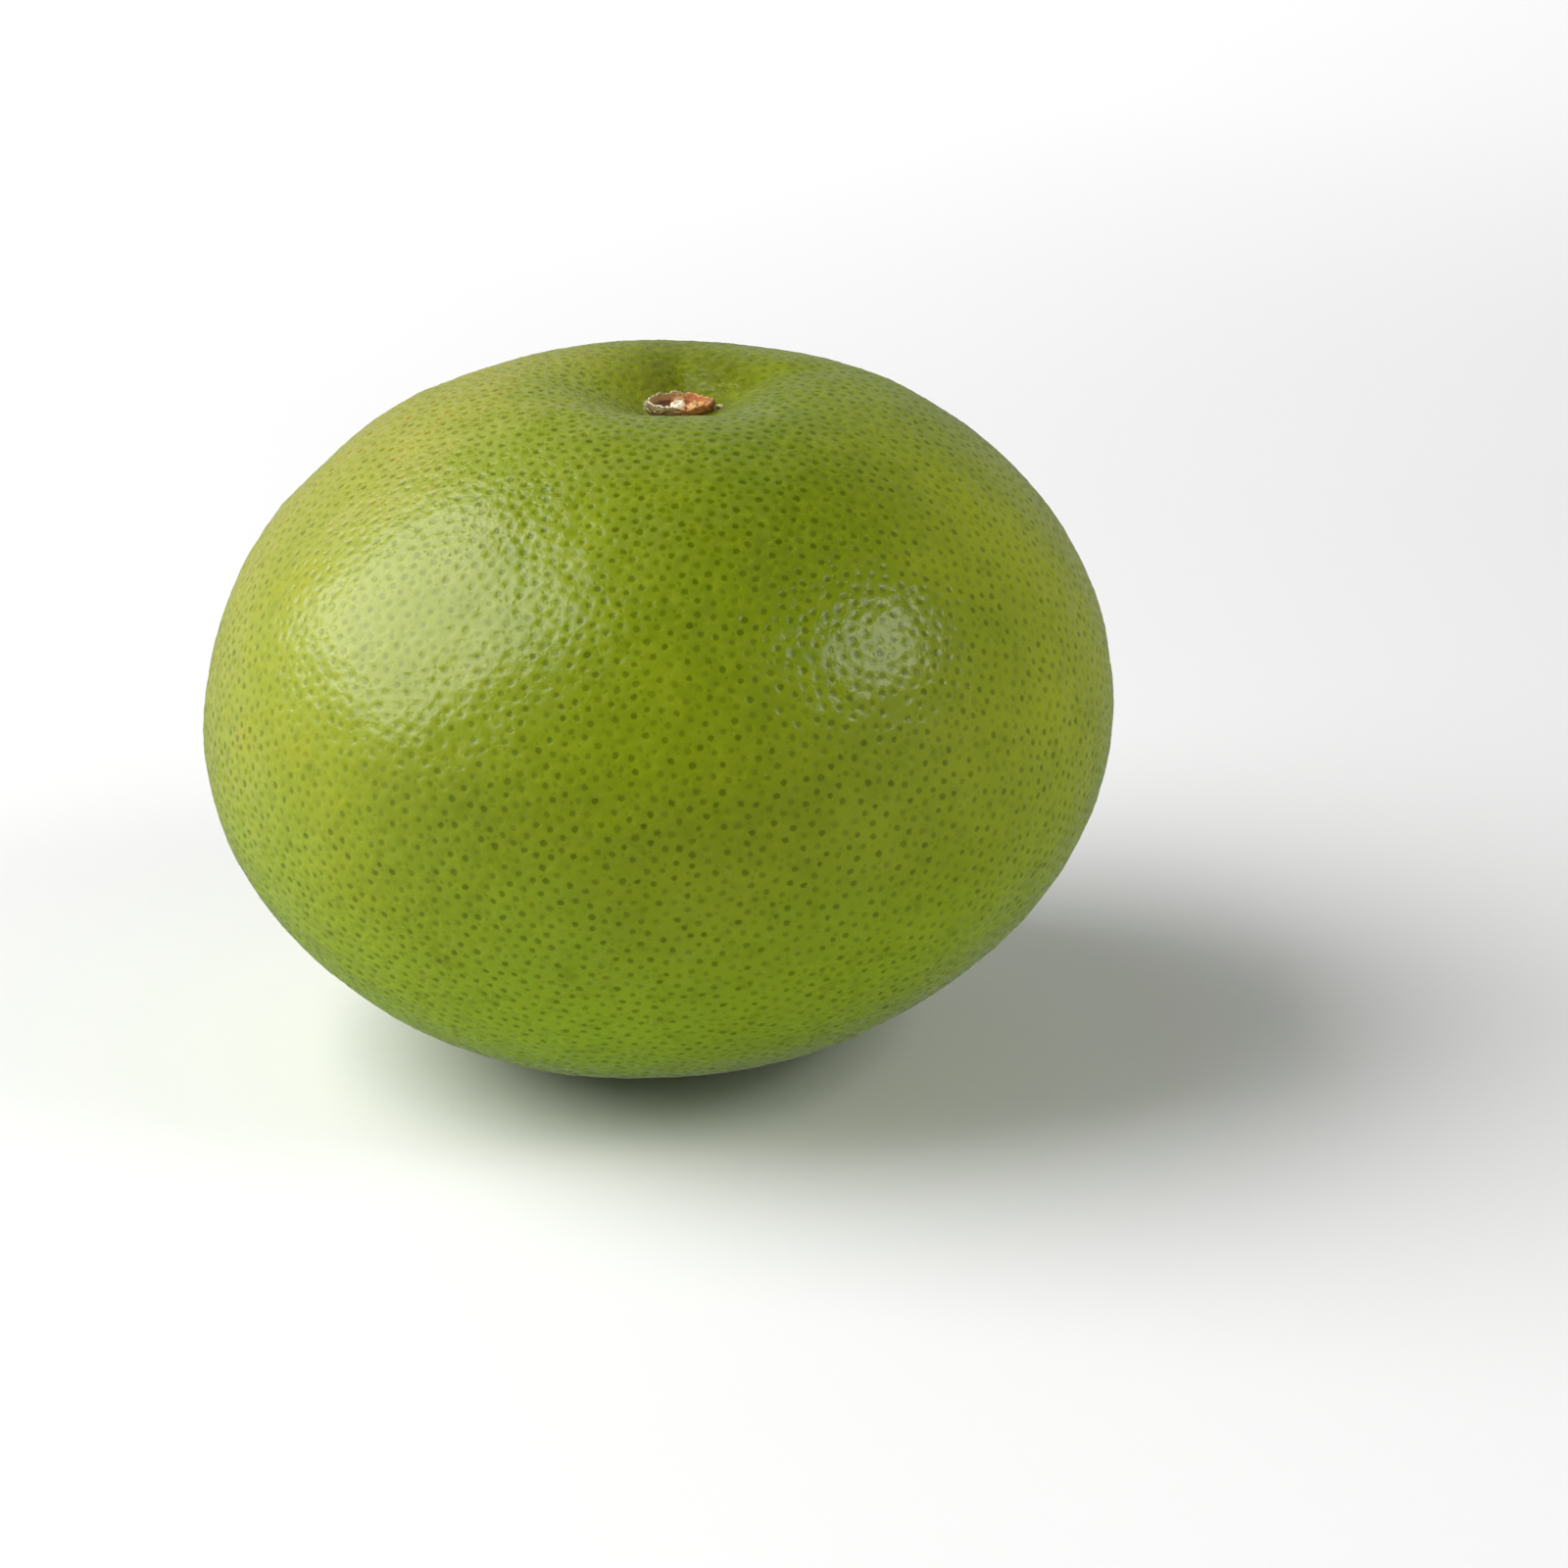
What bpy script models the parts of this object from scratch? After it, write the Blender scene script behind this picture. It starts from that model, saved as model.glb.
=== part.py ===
"""A whole green pomelo, lying stem end up, with the dried button of its stalk.

Lengths are in metres and +Z is up. The fruit rests on Z = 0 on a small flat spot at its
blossom end. X and Y are the middle of its girth, and -Y is its front.
"""

import math

import bmesh
import bpy
import numpy as np
from mathutils import Matrix, Vector, noise

# The rind's envelope, before the stem hollow sinks into it
GIRTH_RADIUS = 0.0700
HALF_HEIGHT = 0.0551
LEAN = math.radians(3.3)  # the +X side of the girth stands higher
SHOULDER_FULLNESS = 0.007  # share of the radius that the upper shoulders swell by
GIRTH_WAVES = (  # waves round the girth: (count, share of the radius, azimuth of a crest)
    (2, 0.0035, math.radians(45)),
    (3, 0.0030, math.radians(90)),
    (5, 0.0035, math.radians(18)),
    (9, 0.0015, math.radians(30)),
)
SWELLS = (  # low swells and flats: (toward, width in radians, share of the radius)
    ((-0.47, 0.30, 0.83), 0.24, 0.010),
    ((-0.69, 0.25, 0.68), 0.15, -0.010),
    ((-0.95, 0.10, 0.28), 0.22, -0.011),
)
DENT_SIZE = 0.024  # soft uneven dents all over the rind
DENT_DEPTH = 0.0004

# The hollow that the stalk stood in
STEM_X = 0.0037
HOLLOW_DEPTH = 0.0075
HOLLOW_RADIUS = 0.0115
HOLLOW_POWER = 1.35
HOLLOW_TILT = 0.15  # share of the depth that it gains on the -X side over its radius
SEAT_RADIUS = 0.0052  # the even place in the middle, which the button stands on
FURROWS = (  # creases running out of the hollow: (azimuth in degrees, depth, half width)
    (92, 0.0018, 0.0036),
    (24, 0.0010, 0.0046),
    (164, 0.0007, 0.0060),
    (228, 0.0004, 0.0060),
    (300, 0.0005, 0.0058),
)
FURROW_REACH = 0.0115  # distance from the stalk at which a crease is deepest

# The flat spot that the fruit rests on
REST_RADIUS = 0.013
REST_SNAP = 0.0002  # rind this near the level cut is drawn onto it

# Oil glands, drawn larger than life: each is a pit inside a honeycomb of low ridges
GLAND_COUNT = 1700
GLAND_SHAKE = 0.20  # share of the spacing that each gland strays by
GLAND_SEED = 11
PIT_DEPTH = 0.00042
RIDGE_HEIGHT = 0.00014

# The button: the oval woody ring of the calyx round the broken end of the stalk
BUTTON_RADIUS = 0.0050  # half its length along X
BUTTON_OVAL = 0.86  # its width along Y, as a share of its length
BUTTON_HEIGHT = 0.0013  # its rim above the rind
BUTTON_ROOT = 0.0011  # its foot below the rind
BUTTON_STEPS = 60
RIM_TILT = 0.15  # share of the height that its rim falls behind and rises in front
RIM_LOW_AZIMUTH = math.radians(50)
BUTTON_PROFILE = (  # from the middle of the top to the middle of the foot: (radii, heights)
    (0.00, 0.42),
    (0.22, 0.48),
    (0.38, 0.30),
    (0.62, 0.22),
    (0.78, 0.52),
    (0.84, 0.96),
    (0.92, 1.00),
    (0.99, 0.82),
    (1.02, 0.40),
    (0.99, 0.10),
)
LOBE_FOOT = 0.6  # share of the height above which the lobes stand out
CALYX_LOBES = (  # the dried sepals: (azimuth in degrees, share of the radius they stand out)
    (5, 0.10),
    (74, 0.05),
    (146, 0.05),
    (186, 0.14),
    (262, 0.04),
    (318, 0.05),
)
SOCKET_GAP = 0.0003

GOLDEN_ANGLE = math.pi * (3 - math.sqrt(5))


def clear_scene():
    for old in list(bpy.data.objects):
        bpy.data.objects.remove(old, do_unlink=True)


def new_collection(name):
    made = bpy.data.collections.new(name)
    bpy.context.scene.collection.children.link(made)
    return made


def material(name, color, roughness):
    made = bpy.data.materials.new(name)
    made.use_nodes = True
    shader = made.node_tree.nodes["Principled BSDF"]
    shader.inputs["Base Color"].default_value = (*color, 1)
    shader.inputs["Roughness"].default_value = roughness
    shader.inputs["Metallic"].default_value = 0
    return made


def hollow_depth(offset_x, offset_y):
    """How far the rind sinks at a place round the stalk, in the hollow and its creases."""
    distance = np.hypot(offset_x, offset_y)
    slope = np.maximum(0, distance - SEAT_RADIUS) / HOLLOW_RADIUS
    depth = HOLLOW_DEPTH * np.exp(-(slope**HOLLOW_POWER)) * (1 - HOLLOW_TILT * offset_x / HOLLOW_RADIUS)
    reach = distance / FURROW_REACH
    for azimuth, crease, half_width in FURROWS:
        turn = math.radians(azimuth)
        along = offset_x * math.cos(turn) + offset_y * math.sin(turn)
        aside = offset_y * math.cos(turn) - offset_x * math.sin(turn)
        profile = np.exp(-((np.abs(aside) / half_width) ** 1.5))
        depth += crease * profile * reach * np.exp((1 - reach**2) / 2) * (along > 0)
    return depth


def rind(directions):
    """Points of the smooth rind, round the middle of the fruit, for rows of unit directions."""
    x, y, z = directions.T
    azimuth = np.arctan2(y, x)
    level = np.sqrt(np.clip(1 - z * z, 0, 1))
    swell = 1 + SHOULDER_FULLNESS * (2 * z * level) ** 2 * (z > 0)
    for count, share, crest in GIRTH_WAVES:
        swell += share * level * np.cos(count * (azimuth - crest))
    for toward, width, share in SWELLS:
        cosine = directions @ toward / np.linalg.norm(toward)
        swell += share * np.exp(2 * (cosine - 1) / width**2)
    points = directions * [GIRTH_RADIUS, GIRTH_RADIUS, HALF_HEIGHT] * swell[:, None]
    dents = [noise.noise(Vector(point) / DENT_SIZE) for point in points]
    points += directions * (DENT_DEPTH * np.array(dents))[:, None]
    cosine, sine = math.cos(LEAN), math.sin(LEAN)
    points = points @ np.array([[cosine, 0, sine], [0, 1, 0], [-sine, 0, cosine]])
    sink = hollow_depth(points[:, 0] - STEM_X, points[:, 1])
    points[:, 2] -= np.where(points[:, 2] > 0, sink, 0)
    return points


def gland_places():
    """Glands spread evenly over the ellipsoid on a golden-angle spiral, each shaken a little."""
    levels = np.linspace(-1, 1, 4001)
    area = np.cumsum(np.hypot(GIRTH_RADIUS * levels, HALF_HEIGHT * np.sqrt(1 - levels**2)))
    shares = (np.arange(GLAND_COUNT) + 0.5) / GLAND_COUNT
    z = np.interp(shares * area[-1], area, levels)
    turn = GOLDEN_ANGLE * np.arange(GLAND_COUNT)
    level = np.sqrt(1 - z * z)
    places = np.stack([level * np.cos(turn), level * np.sin(turn), z], 1)
    spacing = math.sqrt(4 * math.pi / GLAND_COUNT)
    places += GLAND_SHAKE * spacing * np.random.default_rng(GLAND_SEED).normal(size=places.shape) / 2
    return places / np.linalg.norm(places, axis=1)[:, None]


def honeycomb():
    """A closed mesh of unit directions in which every gland is ringed by its cell's corners."""
    shape = bmesh.new()
    scale = Matrix.Diagonal((GIRTH_RADIUS, GIRTH_RADIUS, HALF_HEIGHT))
    for place in gland_places():
        shape.verts.new(scale @ Vector(place))
    bmesh.ops.convex_hull(shape, input=shape.verts[:])
    loose = [vertex for vertex in shape.verts if not vertex.link_faces]
    bmesh.ops.delete(shape, geom=loose, context="VERTS")
    between_glands = shape.edges[:]
    corners = bmesh.ops.poke(shape, faces=shape.faces[:])["verts"]
    bmesh.ops.rotate_edges(shape, edges=between_glands)
    for vertex in shape.verts:
        vertex.co = (scale.inverted() @ vertex.co).normalized()
    return shape, set(corners)


def rest_on_flat_spot(shape):
    """Cuts the lowest part of the rind off level and sets it on Z = 0, the girth centred."""
    points = np.array([vertex.co for vertex in shape.verts])
    middle = (points.min(0) + points.max(0)) / 2
    lift = HALF_HEIGHT * (1 - math.sqrt(1 - (REST_RADIUS / GIRTH_RADIUS) ** 2))
    shift = Vector((-middle[0], -middle[1], -points[:, 2].min() - lift))
    bmesh.ops.translate(shape, verts=shape.verts[:], vec=shift)
    bmesh.ops.bisect_plane(
        shape,
        geom=shape.verts[:] + shape.edges[:] + shape.faces[:],
        dist=REST_SNAP,
        plane_co=(0, 0, 0),
        plane_no=(0, 0, 1),
        clear_inner=True,
    )
    for vertex in shape.verts:
        if vertex.co.z <= REST_SNAP:
            vertex.co.z = 0
    bmesh.ops.holes_fill(shape, edges=shape.edges[:])
    return shift


def make_fruit(collection):
    """The fruit's body, and how far it was moved to stand at the origin."""
    shape, corners = honeycomb()
    directions = np.array([vertex.co for vertex in shape.verts])
    for vertex, point in zip(shape.verts, rind(directions)):
        vertex.co = point
    bmesh.ops.recalc_face_normals(shape, faces=shape.faces[:])
    shape.normal_update()
    relief = {v: RIDGE_HEIGHT if v in corners else -PIT_DEPTH for v in shape.verts}
    normals = {vertex: vertex.normal.copy() for vertex in shape.verts}
    for vertex in shape.verts:
        vertex.co += normals[vertex] * relief[vertex]
    shift = rest_on_flat_spot(shape)
    mesh = bpy.data.meshes.new("fruit")
    shape.to_mesh(mesh)
    shape.free()
    mesh.shade_smooth()
    mesh.materials.append(material("green_rind", (0.26, 0.33, 0.03), 0.45))
    fruit = bpy.data.objects.new("fruit", mesh)
    collection.objects.link(fruit)
    return fruit, shift


def stem_seat(shift):
    """The point of the rind at the bottom of the stem hollow."""
    upwards = np.array([[STEM_X / GIRTH_RADIUS, 0, 1.0]])
    upwards /= np.linalg.norm(upwards)
    return Vector((STEM_X, 0, rind(upwards)[0, 2])) + shift


def cut_socket(fruit, seat, collection):
    """A shallow round socket in the stem hollow, which the button's foot stands in."""
    depth = BUTTON_ROOT + SOCKET_GAP
    top = HOLLOW_DEPTH
    widest = BUTTON_RADIUS * max(radius for radius, _ in BUTTON_PROFILE)
    length, width = widest + SOCKET_GAP, widest * BUTTON_OVAL + SOCKET_GAP
    bpy.ops.mesh.primitive_cylinder_add(
        vertices=BUTTON_STEPS,
        radius=length,
        depth=depth + top,
        location=seat + Vector((0, 0, (top - depth) / 2)),
        scale=(1, width / length, 1),
    )
    cutter = bpy.context.object
    cutter.name = "socket_cutter"
    cutter.hide_render = True
    cutter.display_type = "WIRE"
    for owner in cutter.users_collection:
        owner.objects.unlink(cutter)
    collection.objects.link(cutter)
    cut = fruit.modifiers.new("socket", "BOOLEAN")
    cut.operation = "DIFFERENCE"
    cut.object = cutter


def turned_button():
    """The button as a turned shape, before its rim is torn: its mesh, with Z = 0 at the rind."""
    mesh = bpy.data.meshes.new("button_profile")
    line = [(radius * BUTTON_RADIUS, 0, height * BUTTON_HEIGHT) for radius, height in BUTTON_PROFILE]
    line += [(BUTTON_RADIUS * 0.96, 0, -BUTTON_ROOT), (0, 0, -BUTTON_ROOT)]
    mesh.from_pydata(line, [(i, i + 1) for i in range(len(line) - 1)], [])
    profile = bpy.data.objects.new("button_profile", mesh)
    bpy.context.scene.collection.objects.link(profile)
    turn = profile.modifiers.new("turn", "SCREW")
    turn.steps = turn.render_steps = BUTTON_STEPS
    turn.use_merge_vertices = True
    turn.merge_threshold = 0.00001
    graph = bpy.context.evaluated_depsgraph_get()
    turned = bpy.data.meshes.new_from_object(profile.evaluated_get(graph))
    bpy.data.objects.remove(profile)
    return turned


def make_button(seat, collection):
    mesh = turned_button()
    for vertex in mesh.vertices:
        point = vertex.co
        azimuth = math.atan2(point.y, point.x)
        spread = 1
        if point.z > 0:
            share = math.hypot(point.x, point.y) / BUTTON_RADIUS
            place = Vector((math.cos(azimuth), math.sin(azimuth), 0))
            rim = max(0, share - 0.6) / 0.4
            torn = noise.noise(place * 2.1) * 0.26 + noise.noise(place * 6.3) * 0.20
            tilt = RIM_TILT * math.cos(azimuth - RIM_LOW_AZIMUTH)
            point.z *= 1 + (torn - tilt) * rim
            for lobe, stand_out in CALYX_LOBES:
                turned_away = math.cos(azimuth - math.radians(lobe))
                above_foot = point.z > LOBE_FOOT * BUTTON_HEIGHT
                spread += stand_out * rim * max(0, turned_away) ** 40 * above_foot
        point.x *= spread
        point.y *= spread * BUTTON_OVAL
    mesh.shade_smooth()
    mesh.materials.append(material("dry_stalk", (0.42, 0.25, 0.10), 0.8))
    mesh.name = "stem_button"
    button = bpy.data.objects.new("stem_button", mesh)
    button.location = seat
    collection.objects.link(button)


def main():
    clear_scene()
    pomelo = new_collection("pomelo")
    cutters = new_collection("cutters")
    fruit, shift = make_fruit(pomelo)
    seat = stem_seat(shift)
    cut_socket(fruit, seat, cutters)
    make_button(seat, pomelo)


main()
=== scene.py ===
"""The looks of the whole green pomelo: its pitted waxy rind and the dry button of its stalk.

Lengths are in metres. The fruit stands on Z = 0 with its stem end up, and the camera looks
along +Y from 20 degrees above level.
"""

import math

import bmesh
import bpy
import numpy as np
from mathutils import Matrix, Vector, kdtree, noise
from mathutils.bvhtree import BVHTree


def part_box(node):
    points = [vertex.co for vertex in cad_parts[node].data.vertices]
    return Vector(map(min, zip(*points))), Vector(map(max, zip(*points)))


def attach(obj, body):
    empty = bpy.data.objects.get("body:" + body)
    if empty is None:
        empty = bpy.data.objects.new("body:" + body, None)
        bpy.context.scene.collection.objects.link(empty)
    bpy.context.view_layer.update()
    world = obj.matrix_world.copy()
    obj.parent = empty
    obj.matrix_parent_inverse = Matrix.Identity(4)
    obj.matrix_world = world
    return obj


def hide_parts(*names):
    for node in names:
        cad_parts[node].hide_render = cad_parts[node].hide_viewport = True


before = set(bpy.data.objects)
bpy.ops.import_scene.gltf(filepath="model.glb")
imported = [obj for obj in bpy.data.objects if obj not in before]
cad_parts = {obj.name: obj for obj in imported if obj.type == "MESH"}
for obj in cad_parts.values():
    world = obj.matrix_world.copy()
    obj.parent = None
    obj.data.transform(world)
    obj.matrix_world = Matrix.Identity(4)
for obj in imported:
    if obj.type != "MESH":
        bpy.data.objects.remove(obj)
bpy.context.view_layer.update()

# The rind's envelope, as in the solid: the stem hollow sinks into it
GIRTH_RADIUS = 0.0700
HALF_HEIGHT = 0.0551
LEAN = math.radians(3.3)  # the +X side of the girth stands higher
SHOULDER_FULLNESS = 0.007
GIRTH_WAVES = (  # waves round the girth: (count, share of the radius, azimuth of a crest)
    (2, 0.0035, math.radians(45)),
    (3, 0.0030, math.radians(90)),
    (5, 0.0035, math.radians(18)),
    (9, 0.0015, math.radians(30)),
)
SWELLS = (  # low swells and flats: (toward, width in radians, share of the radius)
    ((-0.47, 0.30, 0.83), 0.24, 0.010),
    ((-0.69, 0.25, 0.68), 0.15, -0.010),
    ((-0.95, 0.10, 0.28), 0.22, -0.011),
)
DENTS = ((0.024, 0.0004), (0.009, 0.00010))  # soft uneven dents: (size, depth)

STEM_X = 0.0037
HOLLOW_DEPTH = 0.0075
HOLLOW_RADIUS = 0.0115
HOLLOW_POWER = 1.35
HOLLOW_TILT = 0.15  # share of the depth that it gains on the -X side over its radius
SEAT_RADIUS = 0.0052
FURROWS = (  # creases running out of the hollow: (azimuth in degrees, depth, half width)
    (92, 0.0018, 0.0036),
    (24, 0.0010, 0.0046),
    (164, 0.0007, 0.0060),
    (228, 0.0004, 0.0060),
    (300, 0.0005, 0.0058),
)
FURROW_REACH = 0.0115
FURROW_POWER = 1.5
REST_RADIUS = 0.013

# Oil glands: dark dots in shallow pits, with the rind raised in pebbles between them
GLAND_COUNT = 10990
GLAND_SHAKE = 0.45  # share of the spacing that each gland strays by
GLAND_SEED = 5
RELAX_ROUNDS = 3
RELAX_PUSH = 0.30  # share of its overlap that a gland moves off each neighbour in a round
NEIGHBOURS = 6
AREA_STEPS = 4001  # heights at which the ellipsoid's area is summed
DOT_RADII = (0.00058, 0.00074)
SMALL_DOT_RADII = (0.00024, 0.00040)
SMALL_DOT_SHARE = 0.30  # of the places between three glands
DOT_DARKNESS = (0.30, 1.00)
SMALL_DOT_DARKNESS = 0.50  # as a share of a large one's
LEAST_LENGTH = 0.000001  # stands for no length, where one is divided by
PIT_DEPTH = 0.00022
SMALL_PIT_DEPTH = 0.00006
PEBBLE_HEIGHT = 0.00004
PEBBLES = ((0.0019, 0.00009), (0.0050, 0.00010))  # raised unevenly: (size, height)
CROWN_PEBBLES = (0.0014, 0.00016)  # more of them round the stem hollow: (size, height)
CROWN_REACH = 0.030
CROWN_FADING = 0.28  # share of their darkness that the dots lose there
PUCKERS = 17  # small radial folds in the rind round the button
PUCKER_HEIGHT = 0.00022
PUCKER_REACH = (0.0050, 0.0095)  # from the middle of the button: where they start and end
PUCKER_WANDER = (0.003, 1.5)  # how far they stray: (size, radians of a fold)

# The button: the torn oval ring of the calyx round the broken end of the stalk
RING_RADIUS = 0.0050
RING_OVAL = 0.87  # its width along Y, as a share of its length along X
RIGHT_TAPER = 0.40  # share of its width along Y that it loses at its right end
RING_HEIGHT = 0.00130
RING_SHIFT = (0, -0.0005, -0.0001)  # from the rind in the middle of the hollow
RING_STEPS = 320  # round it
RING_ROWS = 84  # along its profile
HEIGHT_WEIGHT = 0.3  # what a step in height counts for beside one in radius, in spreading the rows
RING_PROFILE = (  # from the foot over the rim to the middle of the cup: shares of (radius, height)
    (0.80, -0.60),
    (0.94, -0.60),
    (0.98, -0.20),
    (1.00, 0.20),
    (1.01, 0.60),
    (0.99, 0.88),
    (0.95, 1.00),
    (0.91, 0.97),
    (0.87, 0.70),
    (0.83, 0.38),
    (0.72, 0.18),
    (0.45, 0.13),
    (0.00, 0.16),
)
RIM_TILT = 0.16  # share of the height that its rim falls on one side and rises on the other
RIM_LOW_AZIMUTH = math.radians(-60)  # the side where it falls
RIM_TEARS = ((2.1, 0.24), (6.3, 0.22), (17.0, 0.13))  # in its height: (waves, share)
RIM_START = 0.6  # share of the radius inside which the rim's tears are gone and the wrinkles fade
RIM_WIDTH = 0.3  # share over which the tears come to their full height
WALL_WRINKLES = (  # torn and wrinkled walls: (size round the ring, size upwards, depth)
    (0.0014, 0.0009, 0.00018),
    (0.0011, 0.00024, 0.00009),
    (0.00030, 0.0007, 0.00004),
)
WRINKLE_RISE = 0.4  # share of its depth that a wrinkle also goes up and down by
PITH_MOUNDS = (  # the torn pith in the cup: (x, y, reach along X, reach along Y, height)
    (-0.0004, -0.0002, 0.0014, 0.0024, 0.00064),
    (-0.0024, -0.0026, 0.0021, 0.0011, 0.00058),
    (-0.0002, 0.0026, 0.0011, 0.0018, 0.00036),
    (0.0020, -0.0001, 0.0013, 0.0018, 0.00056),
    (0.0034, -0.0004, 0.0012, 0.0016, 0.00060),
)
PITH_TOP = max(mound[-1] for mound in PITH_MOUNDS)
PITH_TEARS = ((0.0009, 0.00050), (0.0003, 0.00020))  # (size, height)
CUP_EDGE = 0.88  # share of the radius inside which pith can stand
CUP_FADE = 0.10  # share over which it comes to its full height
PLAN_WAVER = 0.07  # share of the radius that the plan strays by
PLAN_WAVES = 1.7
GUM_LUMPS = ((0.0009, 0.00014), (0.0003, 0.00005))  # (size, height)
GUM_PLACE = (0.0058, 0.0014)  # from the middle of the button
GUM_RADII = (0.00056, 0.00044, 0.00040)
GUM_RISE = 0.7  # share of its upright radius that its middle stands above the rind
GUM_SEED = 8
SPLINTER_SEED = 3
SPLINTER_SIDES = 6
SPLINTER_ROWS = 5
SPLINTER_FLATNESS = 0.6  # its thickness, as a share of its width
SPLINTER_TAPER = 0.6  # power by which it thins towards its tip
ODD_DIRECTION = (0.31, 0.17, 0.93)  # one that no splinter runs along
RIM_FIBRES = 90
WALL_STRINGS = 70
PITH_FIBRES = 60
PALE_TUFT = (26, 170, 204)  # on the left: (fibres, from azimuth, to azimuth)
BROWN_TUFT = (60, -18, 30)  # on the right
BRISTLES = (84, 91, 98)  # azimuths on the rear rim
STRAND_ROOT = (-0.0051, -0.0006, 0.0007)  # the long pale strand on the left
STRAND_TIP = (-0.0042, -0.0026, -0.0001)

# The rind's colours, linear, and the places where they show
GREEN = (0.180, 0.240, 0.005)
DEEP_GREEN = (0.112, 0.162, 0.003)
YELLOW_GREEN = (0.255, 0.300, 0.010)
RIPE_GREEN = (0.285, 0.335, 0.010)
FLOOR_LIT_GREEN = (0.280, 0.430, 0.022)
BLUSH = (0.420, 0.275, 0.030)
# pale yellow blush, made greyer by painted sheen toward the upper left rim
PALE_BLUSH_AND_SHEEN = (0.305, 0.315, 0.042)
SUNNY_GREEN = (0.235, 0.275, 0.005)
SUNNY_YELLOW = (0.310, 0.300, 0.002)
DOT_SHADE = (0.52, 0.56, 0.30)  # what a gland leaves of the colour round it
BROWN_DOT_SHADE = (0.64, 0.56, 0.30)
BLUSH_DOT_SHADE = (0.76, 0.58, 0.20)
SUNNY_PLACE = (-0.060, -0.026, 0.074)
SUNNY_REACH = 0.058
SHADED_PLACE = (0.018, -0.034, 0.101)
SHADED_REACH = 0.052
RIPE_PLACE = (0.064, -0.018, 0.078)
RIPE_REACH = 0.056
BLUSH_PLACE = (-0.046, 0.004, 0.098)
BLUSH_REACH = 0.050
# painted shade in the stem hollow
DIMPLE_SHADE_GREEN = (0.100, 0.120, 0.001)
DIMPLE_PLACE = (0.006, 0.012, 0.099)
DIMPLE_REACH = 0.027
CROWN_PLACE = (-0.024, -0.003, 0.098)  # the rind is rougher round here
CROWN_BUMP_REACH = 0.066
GLOSSY_PLACES = (  # where the wax shines most: (place, reach)
    ((-0.040, -0.044, 0.078), 0.052),
    ((0.037, -0.050, 0.076), 0.045),
    ((0.004, -0.016, 0.101), 0.022),
)
DIMPLE_DOT_FADING = 0.45  # share of their darkness that the dots lose in the stem hollow
HIGHLIGHT_DOT_FADING = 0.35  # and where the main highlight falls, under the thickest wax: painted highlight
RIDGE_SHEEN_COLOR = (0.315, 0.335, 0.080)  # painted sheen: pale grey-green on the ridges between the pits
RIDGE_SHEEN_PLACES = (  # where that painted sheen shows: (place, reach)
    (CROWN_PLACE, 0.075),
    ((-0.068, -0.012, 0.058), 0.052),
)
PALE_SPECK_GLINT = (0.62, 0.66, 0.50)
FLOOR_LIGHT_HEIGHTS = (0.006, 0.066)  # between these heights the painted floor light, a lighter green low on the fruit, fades out

# The button's colours, linear
OLIVE = (0.150, 0.115, 0.035)
WOOD_BROWN = (0.20, 0.105, 0.03)
DARK_BROWN = (0.10, 0.035, 0.006)
ORANGE_BROWN = (0.40, 0.145, 0.020)
RED_BROWN = (0.42, 0.130, 0.034)
TAN = (0.40, 0.230, 0.080)
AMBER = (0.64, 0.340, 0.100)
GUM_YELLOW = (0.90, 0.760, 0.360)
PALE_ORANGE = (0.72, 0.440, 0.170)
CREAM = (0.60, 0.500, 0.290)
PITH_WHITE = (0.76, 0.680, 0.500)
DRY_GREY = (0.36, 0.320, 0.190)

# The photograph's view of the fruit, in its 1600 pixels
PHOTO_SIDE = 1600
FRUIT_PIXEL = (671.7, 718.0)  # where the middle of the fruit shows
GIRTH_PIXELS = 929.4
ELEVATION = math.radians(20)
CAMERA_DISTANCE = 0.85
SENSOR = 36

# Lights, floor and room, with azimuths and elevations in degrees
SOFTBOXES = (  # (name, azimuth, elevation, distance, size, watts, whether the rind mirrors it)
    ("key_softbox", 184, 42, 1.10, (1.15, 1.06), 19.5, True),
    ("wide_softbox", 184, 38, 1.25, (1.90, 1.70), 5.6, True),
    ("second_softbox", -22, 39, 1.10, (0.48, 0.40), 3.2, True),
    ("right_fill", -22, 14, 1.10, (0.90, 0.90), 3.4, False),
)
BACKDROP_PLACE = (0, 0.85, 0)  # the floor behind the fruit, which has a light of its own above it
BACKDROP_SIZE = (1.2, 0.5)
BACKDROP_HEIGHT = 0.9
BACKDROP_WATTS = 1.8
BACKDROP_SPREAD = math.radians(70)
FLOOR_SIZE = 12
FLOOR_GREYS = (0.755, 0.765)
FAR_FLOOR = (0.7, 1.8)  # distances between which the floor comes to glow
FAR_GLOW = 0.62

# The pale room round the fruit, by side: (axis, sign, strength)
ROOM = ((0, -1, 0.60), (1, -1, 0.10), (1, 1, 0.35), (0, 1, 0.20))

GOLDEN_ANGLE = math.pi * (3 - math.sqrt(5))


def noise_at(points, size, depth, shift=0):
    """Smooth noise between about -depth and depth, for rows of points."""
    away = Vector((shift, 2 * shift, 3 * shift))
    return depth * np.array([noise.noise(Vector(point) / size + away) for point in points])


def hollow_depth(offset_x, offset_y):
    """How far the rind sinks at a place round the stalk, in the hollow and its creases."""
    distance = np.hypot(offset_x, offset_y)
    slope = np.maximum(0, distance - SEAT_RADIUS) / HOLLOW_RADIUS
    depth = HOLLOW_DEPTH * np.exp(-(slope**HOLLOW_POWER)) * (1 - HOLLOW_TILT * offset_x / HOLLOW_RADIUS)
    reach = distance / FURROW_REACH
    for azimuth, crease, half_width in FURROWS:
        turn = math.radians(azimuth)
        along = offset_x * math.cos(turn) + offset_y * math.sin(turn)
        aside = offset_y * math.cos(turn) - offset_x * math.sin(turn)
        profile = np.exp(-((np.abs(aside) / half_width) ** FURROW_POWER))
        depth += crease * profile * reach * np.exp((1 - reach**2) / 2) * (along > 0)
    return depth


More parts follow.
